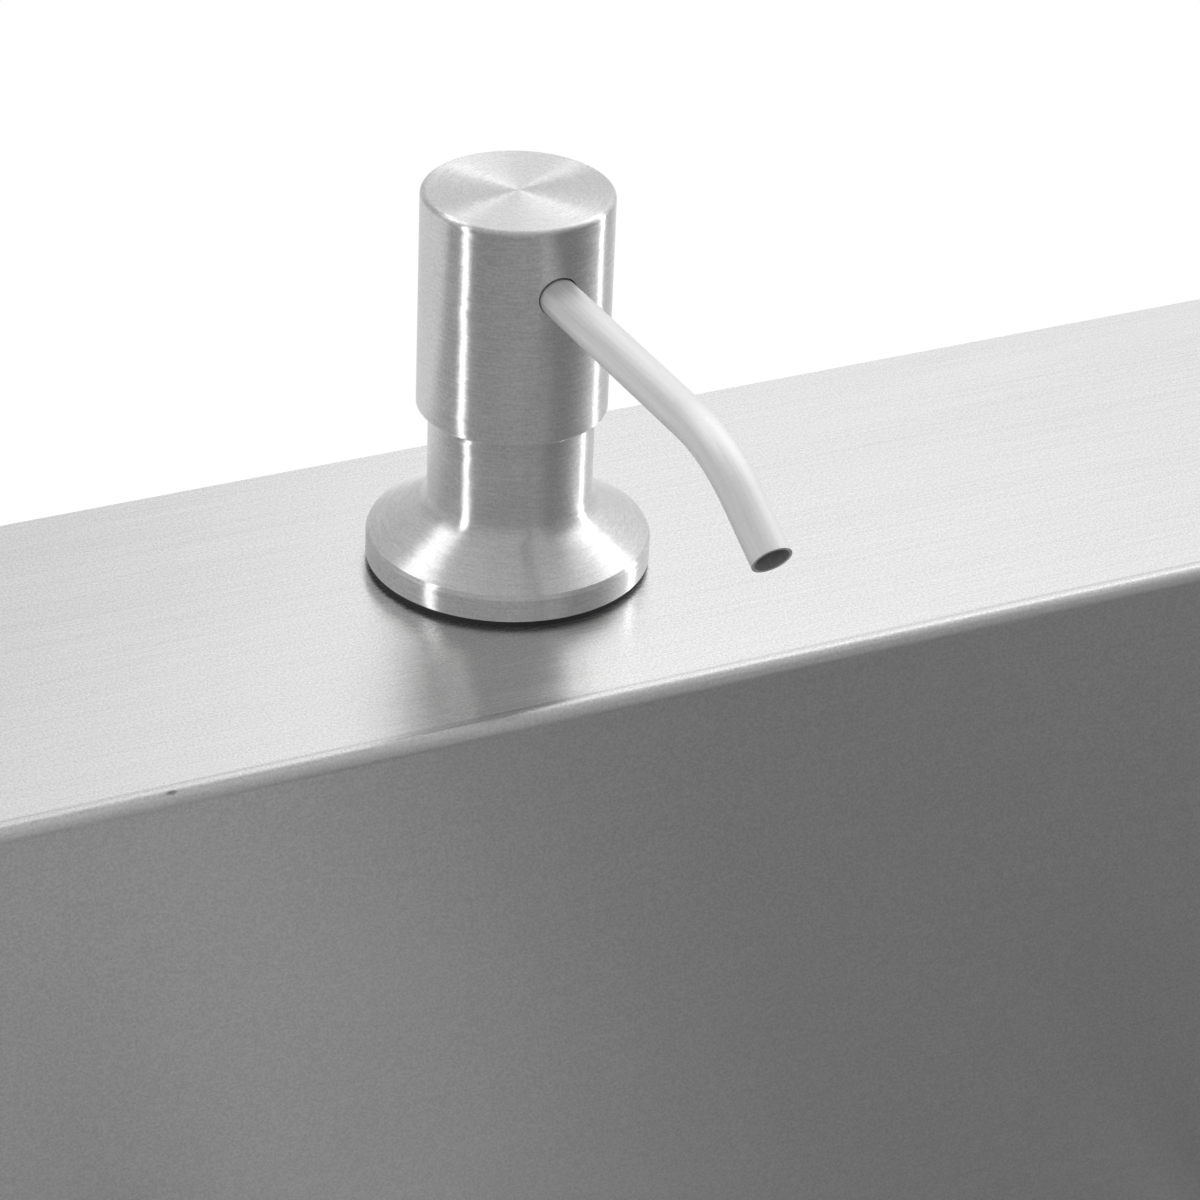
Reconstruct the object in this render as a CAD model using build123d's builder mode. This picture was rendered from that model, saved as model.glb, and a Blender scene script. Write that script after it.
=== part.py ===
from build123d import *
import math
import os

# Top-mount bar sink with a soap dispenser in its tap deck, in millimetres.
# +X is to the right, +Y to the back and +Z up. The origin is on the drain axis, at the
# lower end of the tailpiece.

os.makedirs("parts", exist_ok=True)

# Bowl, rim and tap deck
bowl_length = 457.2
bowl_width = 336.4
bowl_depth = 203.2
bowl_corner_radius = 15.0
floor_bend = 12.0
floor_fall = 4.0
side_rim = 25.4
front_rim = 25.4
tap_deck = 95.4
sheet = 1.2
fold_radius = 2.5
fold_drop = 5.0
rim_corner_radius = 12.0
rim_edge_chamfer = 0.6
edge_drop = 4.0
floor_margin = 2.0
recess_depth = 2.5
recess_margin = 2.0
recess_ledge = 3.0
drain_hole_radius = 44.8

# Holes in the tap deck, on one line in front of the rear edge
hole_setback = 51.5
dispenser_offset = 63.5
dispenser_hole_radius = 15.5
tap_hole_radius = 17.5

# Seal, rails and clips under the rim
seal_width = 8.0
seal_thickness = 3.2
rail_inset = 16.6
rail_width = 10.0
rail_height = 8.0
rail_wall = 1.0
rail_slot = 5.4
front_rail_length = 340.0
side_rail_length = 240.0
rear_rail_length = 120.0
rear_rail_offset = 165.0
front_clip_offset = 115.0
bolt_radius = 2.5
bolt_length = 46.0
bolt_head_thickness = 2.0
jaw_width = 9.0
jaw_length = 38.0
jaw_claw = 11.0
jaw_thickness = 1.6
jaw_drop = 33.0
clip_nut_flats = 8.0
clip_nut_height = 4.0

# Sound-deadening pads on the outside of the bowl
pad_thickness = 3.0
pad_height = 110.0
long_pad_length = 280.0
short_pad_length = 190.0
pad_corner_radius = 6.0
pad_centre_below_deck = 105.0

# Basket strainer and tailpiece
strainer_flange_radius = 57.0
strainer_flange_thickness = 1.5
strainer_cup_radius = 41.0
strainer_cup_wall = 1.2
strainer_cup_depth = 48.0
strainer_mouth_bevel = 2.5
strainer_cup_bevel = 6.0
outlet_radius = 24.0
outlet_bore_radius = 20.5
outlet_length = 16.0
flange_seal_thickness = 1.0
flange_seal_width = 9.0
ring_inset = 1.0
under_gasket_thickness = 3.0
under_gasket_radius = 56.0
friction_ring_thickness = 1.0
locknut_height = 12.0
locknut_flange_radius = 54.0
locknut_flange_thickness = 3.0
locknut_body_radius = 46.5
locknut_lug_width = 7.0
locknut_lugs = 6
locknut_lug_inset = 1.0
tailpiece_radius = 19.05
tailpiece_wall = 0.9
tailpiece_length = 100.0
tailpiece_flange_radius = 22.8
tailpiece_flange_thickness = 1.5
tailpiece_washer_thickness = 2.0
coupling_nut_radius = 30.0
coupling_nut_sides = 8
coupling_nut_engagement = 10.0
coupling_nut_shoulder = 4.0
coupling_nut_gap = 1.25
coupling_nut_chamfer = 1.5

# Basket with its post and stopper
basket_sheet = 0.8
basket_rim_radius = 38.8
basket_rim_width = 2.5
basket_rim_drop = 8.0
basket_base_radius = 31.0
basket_base_height = 6.5
basket_slots = 12
basket_slot_width = 3.2
basket_slot_length = 15.0
base_hole_radius = 2.0
base_hole_circle = 20.0
base_holes = 8
post_radius = 3.0
post_collar_radius = 6.0
post_collar_height = 2.0
knob_radius = 8.0
knob_height = 5.0
knob_chamfer = 1.0
knob_drop = 2.0
stopper_radius = 25.0
stopper_thickness = 3.0
stopper_hub_radius = 8.0

# Dispenser above the deck
base_gasket_thickness = 1.2
base_gasket_inset = 0.4
flange_radius = 25.4
flange_edge_height = 4.6
flange_edge_chamfer = 0.5
cone_top_height = 12.5
neck_fillet = 4.0
neck_radius = 14.7
neck_lip = 3.3
cap_radius = 16.87
cap_bottom_height = 31.1
cap_height = 40.9
cap_wall = 1.5
cap_top_thickness = 3.0
cap_edge_round = 1.0
cap_skirt_chamfer = 0.3
neck_overlap = 2.2
spout_height = 59.1
spout_radius = 3.5
spout_bore_radius = 3.0
spout_straight = 64.5
spout_bend_radius = 36.0
spout_droop_angle = 30.0
spout_end_run = 12.0
spout_turn_angle = 1.35
spout_root = 5.0
cap_hole_gap = 0.2
cap_hole_rise = 0.1

# Dispenser through and below the deck
shank_radius = 13.5
shank_bore_radius = 11.0
shank_below_deck = 48.0
shank_washer_radius = 22.0
shank_washer_thickness = 2.0
mounting_nut_radius = 20.0
mounting_nut_height = 9.0
mounting_nut_chamfer = 1.2
bottle_radius = 29.0
bottle_wall = 1.2
bottle_neck_radius = 16.0
bottle_neck_drop = 26.0
bottle_neck_length = 22.0
bottle_shoulder = 14.0
bottle_bottom_drop = 190.0
bottle_shoulder_round = 6.0

# Pump
stroke = 15.0
press_margin = 1.0
closure_radius = 14.5
closure_thickness = 3.2
closure_plug_radius = 11.9
closure_plug_length = 11.3
closure_skirt_radius = 10.6
cylinder_radius = 8.2
cylinder_bore_radius = 7.0
cylinder_length = 60.0
cylinder_flange_radius = 10.4
cylinder_flange_thickness = 2.0
valve_pocket_radius = 2.9
valve_pocket_depth = 6.0
valve_floor = 2.0
valve_hole_radius = 2.0
valve_ball_radius = 2.5
dip_socket_radius = 5.4
dip_socket_length = 10.0
dip_tube_radius = 4.0
dip_tube_wall = 0.8
dip_tube_lift = 6.0
piston_height = 8.0
piston_floor = 2.0
piston_hole_radius = 1.5
stem_radius = 4.0
stem_bore_radius = 2.5
stem_grip = 4.5
wire_radius = 0.5
spring_radius = 5.2
spring_turns = 5.5

# Clearances
thread_gap = 0.1
socket_gap = 0.05
running_gap = 0.06
loose_gap = 0.3
seat_gap = 0.03

# Levels on the drain axis, from the tailpiece up to the deck
outlet_bottom = tailpiece_length + tailpiece_washer_thickness
cup_bottom = outlet_bottom + outlet_length
cup_floor = cup_bottom + strainer_cup_wall
floor_low = cup_bottom + strainer_cup_depth
strainer_flange_bottom = floor_low - strainer_flange_thickness
recess_top = strainer_flange_bottom - flange_seal_thickness
floor_high = floor_low + floor_fall
deck_top = floor_low + bowl_depth
deck_under = deck_top - sheet
bowl_top = deck_top - fold_drop
recess_radius = strainer_flange_radius + recess_margin

# Plan of the rim
sink_length = bowl_length + 2 * side_rim
sink_width = bowl_width + front_rim + tap_deck
rim_centre_y = (tap_deck - front_rim) / 2
rear_edge_y = bowl_width / 2 + tap_deck
front_edge_y = -bowl_width / 2 - front_rim
hole_line_y = bowl_width / 2 + hole_setback

# Planes and axes: x is the radius and y the height in both profile planes
drain_plane = Plane.XZ
drain_axis = Axis.Z
dispenser_spot = (dispenser_offset, hole_line_y, deck_top)
pump_plane = Plane(origin=dispenser_spot, x_dir=(1, 0, 0), z_dir=(0, -1, 0))
pump_axis = Axis(dispenser_spot, (0, 0, 1))


def corners(sketch, *points):
    """The sketch's corners nearest to the given points."""
    return [sketch.vertices().sort_by_distance((x, y, 0))[0] for x, y in points]


def rim_outline(inset):
    """A rounded rectangle that runs inside the rim's outer edge, all round."""
    with Locations((0, rim_centre_y)):
        RectangleRounded(sink_length - 2 * inset, sink_width - 2 * inset, rim_corner_radius - inset)


def bowl_outline(outset):
    """A rounded rectangle that runs outside the bowl's inner walls, all round."""
    RectangleRounded(bowl_length + 2 * outset, bowl_width + 2 * outset, bowl_corner_radius + outset)


# Floor between the bends falls in four facets to a square round the drain
slope_margin = floor_bend + floor_margin
slope_length = bowl_length - 2 * slope_margin
slope_width = bowl_width - 2 * slope_margin
slope_end = 2 * (recess_radius + recess_ledge)


def floor_form(outset):
    """A solid bounded below by the floor's four falling facets, moved outwards by outset."""
    high = floor_high - outset
    low = floor_low - outset
    with BuildPart() as form:
        with BuildSketch(Plane.XZ):
            with BuildLine():
                Polyline(
                    (-slope_length / 2, high),
                    (slope_length / 2, high),
                    (slope_end / 2, low),
                    (-slope_end / 2, low),
                    close=True,
                )
            make_face()
        extrude(amount=slope_width / 2, both=True)
        with BuildSketch(Plane.YZ):
            with BuildLine():
                Polyline(
                    (-slope_width / 2, high),
                    (slope_width / 2, high),
                    (slope_end / 2, low),
                    (-slope_end / 2, low),
                    close=True,
                )
            make_face()
        extrude(amount=slope_length / 2, both=True, mode=Mode.INTERSECT)
    return form.part


def bowl_form(outset):
    """A solid that fills the bowl, bounded by its inner surface moved outwards by outset."""
    floor = floor_form(outset)
    with BuildPart() as form:
        with BuildSketch(Plane.XY.offset(bowl_top)):
            bowl_outline(outset)
        extrude(amount=floor_high - outset - bowl_top)
        fillet(form.faces().sort_by(Axis.Z)[0].edges(), floor_bend + outset)
        add(floor)
        with BuildSketch(Plane.XY.offset(floor_low)):
            Circle(recess_radius + outset)
        extrude(amount=-recess_depth - outset)
    return form.part


# Sink shell: the bowl, folded and welded from one sheet, with the strainer's recess pressed in
bowl_outside = bowl_form(sheet)
bowl_inside = bowl_form(0)
with BuildPart() as sink_shell:
    add(bowl_outside)
    add(bowl_inside, mode=Mode.SUBTRACT)
    with Locations((0, 0, floor_low)):
        Hole(drain_hole_radius)
sink_shell.part.label = "sink_shell"
export_step(sink_shell.part, "parts/sink_shell.step")

# Rim plate: rim and tap deck, turned down outside and rolled down inside to meet the bowl's walls
with BuildPart() as rim_plate:
    with BuildSketch(Plane.XY.offset(deck_top)):
        rim_outline(0)
    extrude(amount=-edge_drop)
    chamfer(rim_plate.faces().sort_by(Axis.Z)[-1].edges(), rim_edge_chamfer)
    with BuildSketch(Plane.XY.offset(deck_under)):
        rim_outline(sheet)
    extrude(amount=-edge_drop, mode=Mode.SUBTRACT)
    with BuildSketch(Plane.XY.offset(deck_top)):
        bowl_outline(sheet)
    extrude(amount=-fold_drop)
    under_fold = (
        rim_plate.edges()
        .filter_by_position(Axis.Z, deck_under - 0.01, deck_under + 0.01)
        .filter_by_position(Axis.X, -bowl_length / 2 - 2 * sheet, bowl_length / 2 + 2 * sheet)
        .filter_by_position(Axis.Y, -bowl_width / 2 - 2 * sheet, bowl_width / 2 + 2 * sheet)
    )
    chamfer(under_fold, fold_radius - sheet)
    with BuildSketch(Plane.XY.offset(deck_top)):
        bowl_outline(0)
    extrude(amount=-fold_drop, mode=Mode.SUBTRACT)
    deck_face = rim_plate.faces().sort_by(Axis.Z)[-1]
    fillet(deck_face.inner_wires()[0].edges(), fold_radius)
    with Locations((dispenser_offset, hole_line_y, deck_top)):
        Hole(dispenser_hole_radius, depth=2 * sheet)
    with Locations((-dispenser_offset, hole_line_y, deck_top)):
        Hole(tap_hole_radius, depth=2 * sheet)
rim_plate.part.label = "rim_plate"
export_step(rim_plate.part, "parts/rim_plate.step")

# Foam seal inside the turned-down edge, standing a little below it
with BuildPart() as rim_seal:
    with BuildSketch(Plane.XY.offset(deck_under)):
        rim_outline(sheet + loose_gap)
        with Locations((0, rim_centre_y)):
            Rectangle(
                sink_length - 2 * (sheet + loose_gap + seal_width),
                sink_width - 2 * (sheet + loose_gap + seal_width),
                mode=Mode.SUBTRACT,
            )
    extrude(amount=-seal_thickness)
rim_seal.part.label = "rim_seal"
export_step(rim_seal.part, "parts/rim_seal.step")

# Rails with an open slot below, welded under the rim. Each is (x, y, runs along, length).
front_rail_y = front_edge_y + rail_inset
rear_rail_y = rear_edge_y - rail_inset
side_rail_x = sink_length / 2 - rail_inset
rails = [
    (0, front_rail_y, "X", front_rail_length),
    (-side_rail_x, 0, "Y", side_rail_length),
    (side_rail_x, 0, "Y", side_rail_length),
    (-rear_rail_offset, rear_rail_y, "X", rear_rail_length),
    (rear_rail_offset, rear_rail_y, "X", rear_rail_length),
]


def across(x, y, run, height):
    """The upright plane across a rail or a clip that runs along X or Y."""
    if run == "X":
        return Plane(origin=(x, y, height), x_dir=(0, 1, 0), z_dir=(1, 0, 0))
    return Plane(origin=(x, y, height), x_dir=(-1, 0, 0), z_dir=(0, 1, 0))


with BuildPart() as mounting_rails:
    for x, y, run, length in rails:
        with BuildSketch(across(x, y, run, deck_under)):
            with Locations((0, -rail_height / 2)):
                Rectangle(rail_width, rail_height)
                Rectangle(rail_width - 2 * rail_wall, rail_height - 2 * rail_wall, mode=Mode.SUBTRACT)
            with Locations((0, -rail_height + rail_wall / 2)):
                Rectangle(rail_slot, rail_wall, mode=Mode.SUBTRACT)
        extrude(amount=length / 2, both=True)
mounting_rails.part.label = "mounting_rails"
export_step(mounting_rails.part, "parts/mounting_rails.step")

# Clips, turned along their rails as they are while the sink is let into its cut-out
clips = [
    (-front_clip_offset, front_rail_y, "X"),
    (front_clip_offset, front_rail_y, "X"),
    (-side_rail_x, 0, "Y"),
    (side_rail_x, 0, "Y"),
    (-rear_rail_offset, rear_rail_y, "X"),
    (rear_rail_offset, rear_rail_y, "X"),
]
rail_lip_top = deck_under - rail_height + rail_wall
jaw_under = deck_top - jaw_drop
bolt_head_width = rail_width - 2 * rail_wall - 2 * loose_gap

with BuildPart() as clip_bolts:
    for x, y, run in clips:
        with BuildSketch(Plane.XY.offset(rail_lip_top)):
            with Locations((x, y)):
                Rectangle(bolt_head_width, bolt_head_width)
        extrude(amount=bolt_head_thickness)
        with BuildSketch(Plane.XY.offset(rail_lip_top)):
            with Locations((x, y)):
                Circle(bolt_radius)
        extrude(amount=-bolt_length)
clip_bolts.part.label = "clip_bolts"
export_step(clip_bolts.part, "parts/clip_bolts.step")

# Each jaw is a bent strap: a claw turned up at one end and a short heel at the other
with BuildPart() as clip_jaws:
    for x, y, run in clips:
        side = Plane(origin=(x, y, jaw_under), x_dir=(1, 0, 0), z_dir=(0, -1, 0))
        if run == "Y":
            side = Plane(origin=(x, y, jaw_under), x_dir=(0, 1, 0), z_dir=(1, 0, 0))
        with BuildSketch(side):
            with BuildLine():
                Polyline(
                    (-jaw_width, 0),
                    (jaw_length, 0),
                    (jaw_length, jaw_claw),
                    (jaw_length - jaw_thickness, jaw_claw - jaw_thickness),
                    (jaw_length - jaw_thickness, jaw_thickness),
                    (-jaw_width + jaw_thickness, jaw_thickness),
                    (-jaw_width + jaw_thickness, jaw_claw / 2),
                    (-jaw_width, jaw_claw / 2),
                    close=True,
                )
            make_face()
        extrude(amount=jaw_width / 2, both=True)
        with Locations((x, y, jaw_under + jaw_thickness)):
            Hole(bolt_radius + loose_gap, depth=2 * jaw_thickness)
clip_jaws.part.label = "clip_jaws"
export_step(clip_jaws.part, "parts/clip_jaws.step")

with BuildPart() as clip_nuts:
    for x, y, run in clips:
        with BuildSketch(Plane.XY.offset(jaw_under)):
            with Locations((x, y)):
                RegularPolygon(clip_nut_flats / 2, 6, major_radius=False)
                Circle(bolt_radius + thread_gap, mode=Mode.SUBTRACT)
        extrude(amount=-clip_nut_height)
clip_nuts.part.label = "clip_nuts"
export_step(clip_nuts.part, "parts/clip_nuts.step")

# Rubber pads stuck to the four walls, faces outwards
pad_z = deck_top - pad_centre_below_deck
wall_x = bowl_length / 2 + sheet
wall_y = bowl_width / 2 + sheet
pads = [
    (Plane(origin=(0, -wall_y, pad_z), x_dir=(1, 0, 0), z_dir=(0, -1, 0)), long_pad_length),
    (Plane(origin=(0, wall_y, pad_z), x_dir=(-1, 0, 0), z_dir=(0, 1, 0)), long_pad_length),
    (Plane(origin=(-wall_x, 0, pad_z), x_dir=(0, -1, 0), z_dir=(-1, 0, 0)), short_pad_length),
    (Plane(origin=(wall_x, 0, pad_z), x_dir=(0, 1, 0), z_dir=(1, 0, 0)), short_pad_length),
]
with BuildPart() as sound_pads:
    for plane, length in pads:
        with BuildSketch(plane):
            RectangleRounded(length, pad_height, pad_corner_radius)
        extrude(amount=pad_thickness)
sound_pads.part.label = "sound_pads"
export_step(sound_pads.part, "parts/sound_pads.step")

# Strainer body: flange in the floor's recess, cup below it and a threaded outlet
cup_inner_radius = strainer_cup_radius - strainer_cup_wall
with BuildPart() as strainer_body:
    with BuildSketch(drain_plane) as profile:
        with BuildLine():
            Polyline(
                (strainer_flange_radius, strainer_flange_bottom),
                (strainer_flange_radius, floor_low),
                (cup_inner_radius, floor_low),
                (cup_inner_radius, cup_floor),
                (outlet_bore_radius, cup_floor),
                (outlet_bore_radius, outlet_bottom),
                (outlet_radius, outlet_bottom),
                (outlet_radius, cup_bottom),
                (strainer_cup_radius, cup_bottom),
                (strainer_cup_radius, strainer_flange_bottom),
                close=True,
            )
        make_face()
        chamfer(corners(profile, (cup_inner_radius, cup_floor)), strainer_cup_bevel)
        chamfer(
            corners(profile, (strainer_cup_radius, cup_bottom)),
            strainer_cup_bevel + strainer_cup_wall / 2,
        )
        chamfer(corners(profile, (cup_inner_radius, floor_low)), strainer_mouth_bevel)
        chamfer(
            corners(profile, (strainer_cup_radius, strainer_flange_bottom)),
            strainer_mouth_bevel - strainer_cup_wall,
        )
        chamfer(corners(profile, (strainer_flange_radius, floor_low)), strainer_flange_thickness / 2)
    revolve(axis=drain_axis)
strainer_body.part.label = "strainer_body"
export_step(strainer_body.part, "parts/strainer_body.step")

# Rings that the locknut clamps: one over the sheet, two under it
with BuildPart() as strainer_flange_seal:
    with BuildSketch(Plane.XY.offset(recess_top)):
        Circle(strainer_flange_radius - ring_inset)
        Circle(strainer_flange_radius - ring_inset - flange_seal_width, mode=Mode.SUBTRACT)
    extrude(amount=flange_seal_thickness)
strainer_flange_seal.part.label = "strainer_flange_seal"
export_step(strainer_flange_seal.part, "parts/strainer_flange_seal.step")

under_gasket_top = recess_top - sheet
ring_bore_radius = strainer_cup_radius + 4 * loose_gap
with BuildPart() as strainer_gasket:
    with BuildSketch(Plane.XY.offset(under_gasket_top)):
        Circle(under_gasket_radius)
        Circle(ring_bore_radius, mode=Mode.SUBTRACT)
    extrude(amount=-under_gasket_thickness)
strainer_gasket.part.label = "strainer_gasket"
export_step(strainer_gasket.part, "parts/strainer_gasket.step")

friction_ring_top = under_gasket_top - under_gasket_thickness
with BuildPart() as friction_ring:
    with BuildSketch(Plane.XY.offset(friction_ring_top)):
        Circle(under_gasket_radius - ring_inset)
        Circle(ring_bore_radius, mode=Mode.SUBTRACT)
    extrude(amount=-friction_ring_thickness)
friction_ring.part.label = "friction_ring"
export_step(friction_ring.part, "parts/friction_ring.step")

locknut_top = friction_ring_top - friction_ring_thickness
lug_length = locknut_flange_radius - locknut_body_radius
lug_height = locknut_height - locknut_flange_thickness
with BuildPart() as strainer_locknut:
    with BuildSketch(Plane.XY.offset(locknut_top)):
        Circle(locknut_flange_radius)
    extrude(amount=-locknut_flange_thickness)
    with BuildSketch(Plane.XY.offset(locknut_top)):
        Circle(locknut_body_radius)
        with PolarLocations(locknut_body_radius, locknut_lugs):
            Rectangle(2 * (lug_length - locknut_lug_inset), locknut_lug_width)
    extrude(amount=-locknut_height)
    with Locations((0, 0, locknut_top)):
        Hole(strainer_cup_radius + thread_gap)
strainer_locknut.part.label = "strainer_locknut"
export_step(strainer_locknut.part, "parts/strainer_locknut.step")

# Tailpiece: a flanged tube, held up under the outlet by the coupling nut
flange_under = tailpiece_length - tailpiece_flange_thickness
with BuildPart() as tailpiece:
    with BuildSketch(Plane.XY):
        Circle(tailpiece_radius)
    extrude(amount=flange_under)
    with BuildSketch(Plane.XY.offset(flange_under)):
        Circle(tailpiece_flange_radius)
    extrude(amount=tailpiece_flange_thickness)
    with Locations((0, 0, tailpiece_length)):
        Hole(tailpiece_radius - tailpiece_wall)
tailpiece.part.label = "tailpiece"
export_step(tailpiece.part, "parts/tailpiece.step")

with BuildPart() as tailpiece_washer:
    with BuildSketch(Plane.XY.offset(tailpiece_length)):
        Circle(outlet_radius - loose_gap)
        Circle(tailpiece_radius, mode=Mode.SUBTRACT)
    extrude(amount=tailpiece_washer_thickness)
tailpiece_washer.part.label = "tailpiece_washer"
export_step(tailpiece_washer.part, "parts/tailpiece_washer.step")

coupling_nut_bottom = flange_under - coupling_nut_shoulder
with BuildPart() as coupling_nut:
    with BuildSketch(Plane.XY.offset(coupling_nut_bottom)):
        RegularPolygon(coupling_nut_radius, coupling_nut_sides)
    extrude(amount=outlet_bottom + coupling_nut_engagement - coupling_nut_bottom)
    with BuildSketch(Plane.XY.offset(flange_under)):
        Circle(outlet_radius + thread_gap)
    extrude(amount=outlet_length + coupling_nut_engagement, mode=Mode.SUBTRACT)
    with Locations((0, 0, flange_under)):
        Hole(tailpiece_radius + coupling_nut_gap)
    chamfer(coupling_nut.faces().sort_by(Axis.Z)[0].outer_wire().edges(), coupling_nut_chamfer)
coupling_nut.part.label = "coupling_nut"
export_step(coupling_nut.part, "parts/coupling_nut.step")

# Basket: a slotted cup on a rubber stopper, which rests on the floor of the strainer body
basket_base = cup_floor + basket_base_height
basket_rim = floor_low - basket_rim_drop
basket_wall_radius = basket_rim_radius - basket_rim_width
with BuildPart() as strainer_basket:
    with BuildSketch(drain_plane):
        with BuildLine():
            Polyline(
                (post_radius + socket_gap, basket_base),
                (basket_base_radius, basket_base),
                (basket_wall_radius, basket_rim - basket_sheet),
                (basket_rim_radius, basket_rim - basket_sheet),
                (basket_rim_radius, basket_rim),
                (basket_wall_radius - basket_sheet, basket_rim),
                (basket_base_radius - basket_sheet, basket_base + basket_sheet),
                (post_radius + socket_gap, basket_base + basket_sheet),
                close=True,
            )
        make_face()
    revolve(axis=drain_axis)
    slot_centre = (basket_base + basket_rim) / 2
    slot_reach = basket_wall_radius - basket_base_radius + 2 * basket_sheet
    with Locations((0, 0, slot_centre)):
        with PolarLocations((basket_base_radius + basket_wall_radius) / 2, basket_slots):
            Box(slot_reach, basket_slot_width, basket_slot_length, mode=Mode.SUBTRACT)
    with Locations((0, 0, basket_base + basket_sheet)):
        with PolarLocations(base_hole_circle, base_holes):
            Hole(base_hole_radius, depth=2 * basket_sheet)
strainer_basket.part.label = "strainer_basket"
export_step(strainer_basket.part, "parts/strainer_basket.step")

knob_top = floor_low - knob_drop
post_foot = cup_floor + stopper_thickness / 2
post_collar_top = basket_base + basket_sheet + post_collar_height
with BuildPart() as basket_post:
    with BuildSketch(drain_plane) as profile:
        with BuildLine():
            Polyline(
                (0, post_foot),
                (post_radius, post_foot),
                (post_radius, basket_base + basket_sheet),
                (post_collar_radius, basket_base + basket_sheet),
                (post_collar_radius, post_collar_top),
                (post_radius, post_collar_top),
                (post_radius, knob_top - knob_height),
                (knob_radius, knob_top - knob_height + knob_chamfer),
                (knob_radius, knob_top),
                (0, knob_top),
                close=True,
            )
        make_face()
        chamfer(corners(profile, (knob_radius, knob_top)), knob_chamfer)
    revolve(axis=drain_axis)
basket_post.part.label = "basket_post"
export_step(basket_post.part, "parts/basket_post.step")

with BuildPart() as basket_stopper:
    with BuildSketch(drain_plane):
        with BuildLine():
            Polyline(
                (0, cup_floor),
                (stopper_radius, cup_floor),
                (stopper_radius, cup_floor + stopper_thickness),
                (stopper_hub_radius, cup_floor + stopper_thickness),
                (stopper_hub_radius, basket_base),
                (post_radius + socket_gap, basket_base),
                (post_radius + socket_gap, post_foot),
                (0, post_foot),
                close=True,
            )
        make_face()
    revolve(axis=drain_axis)
basket_stopper.part.label = "basket_stopper"
export_step(basket_stopper.part, "parts/basket_stopper.step")

# Levels on the dispenser axis, from the top of the deck
base_gasket_top = base_gasket_thickness
flange_edge_top = base_gasket_top + flange_edge_height
neck_top = cap_bottom_height + neck_overlap
shank_top = neck_top - neck_lip
shank_bottom = -sheet - shank_below_deck
collar_bore_radius = shank_radius + thread_gap
lip_bore_radius = closure_plug_radius + loose_gap
cap_top = cap_bottom_height + cap_height
cap_bore_radius = cap_radius - cap_wall
insert_top = cap_top - cap_top_thickness
closure_top = neck_top + closure_thickness
insert_bottom = closure_top + press_margin + stroke
closure_bottom = neck_top - closure_plug_length
cylinder_top = closure_bottom
cylinder_floor = cylinder_top - cylinder_length
pocket_floor = cylinder_floor - valve_pocket_depth
dip_socket_top = pocket_floor - valve_floor
dip_socket_bottom = dip_socket_top - dip_socket_length
piston_top = cylinder_top - loose_gap
piston_bottom = piston_top - piston_height
stem_top = insert_bottom + stem_grip

# Collar: the turned base flange and its neck, in one piece
with BuildPart() as collar_flange:
    with BuildSketch(pump_plane) as profile:
        with BuildLine():
            Polyline(
                (collar_bore_radius, base_gasket_top),
                (flange_radius, base_gasket_top),
                (flange_radius, flange_edge_top),
                (neck_radius, cone_top_height),
                (neck_radius, neck_top),
                (lip_bore_radius, neck_top),
                (lip_bore_radius, shank_top),
                (collar_bore_radius, shank_top),
                close=True,
            )
        make_face()
        chamfer(corners(profile, (flange_radius, flange_edge_top)), flange_edge_chamfer)
        fillet(corners(profile, (neck_radius, cone_top_height)), neck_fillet)
    revolve(axis=pump_axis)
collar_flange.part.label = "collar_flange"
export_step(collar_flange.part, "parts/collar_flange.step")

with BuildPart() as base_gasket:
    with BuildSketch(Plane.XY.offset(deck_top)):
        with Locations((dispenser_offset, hole_line_y)):
            Circle(flange_radius - base_gasket_inset)
            Circle(shank_radius + loose_gap, mode=Mode.SUBTRACT)
    extrude(amount=base_gasket_thickness)
base_gasket.part.label = "base_gasket"
export_step(base_gasket.part, "parts/base_gasket.step")

# Threaded shank, screwed up into the collar and out through the deck
with BuildPart() as threaded_shank:
    with BuildSketch(pump_plane):
        with BuildLine():
            Polyline(
                (shank_bore_radius, shank_bottom),
                (shank_radius, shank_bottom),
                (shank_radius, shank_top),
                (shank_bore_radius, shank_top),
                close=True,
            )
        make_face()
    revolve(axis=pump_axis)
threaded_shank.part.label = "threaded_shank"
export_step(threaded_shank.part, "parts/threaded_shank.step")

with BuildPart() as shank_washer:
    with BuildSketch(Plane.XY.offset(deck_under)):
        with Locations((dispenser_offset, hole_line_y)):
            Circle(shank_washer_radius)
            Circle(shank_radius + loose_gap, mode=Mode.SUBTRACT)
    extrude(amount=-shank_washer_thickness)
shank_washer.part.label = "shank_washer"
export_step(shank_washer.part, "parts/shank_washer.step")

with BuildPart() as mounting_nut:
    with BuildSketch(Plane.XY.offset(deck_under - shank_washer_thickness)):
        with Locations((dispenser_offset, hole_line_y)):
            RegularPolygon(mounting_nut_radius, 6)
            Circle(collar_bore_radius, mode=Mode.SUBTRACT)
    extrude(amount=-mounting_nut_height)
    chamfer(mounting_nut.faces().sort_by(Axis.Z)[0].outer_wire().edges(), mounting_nut_chamfer)
mounting_nut.part.label = "mounting_nut"
export_step(mounting_nut.part, "parts/mounting_nut.step")

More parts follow.
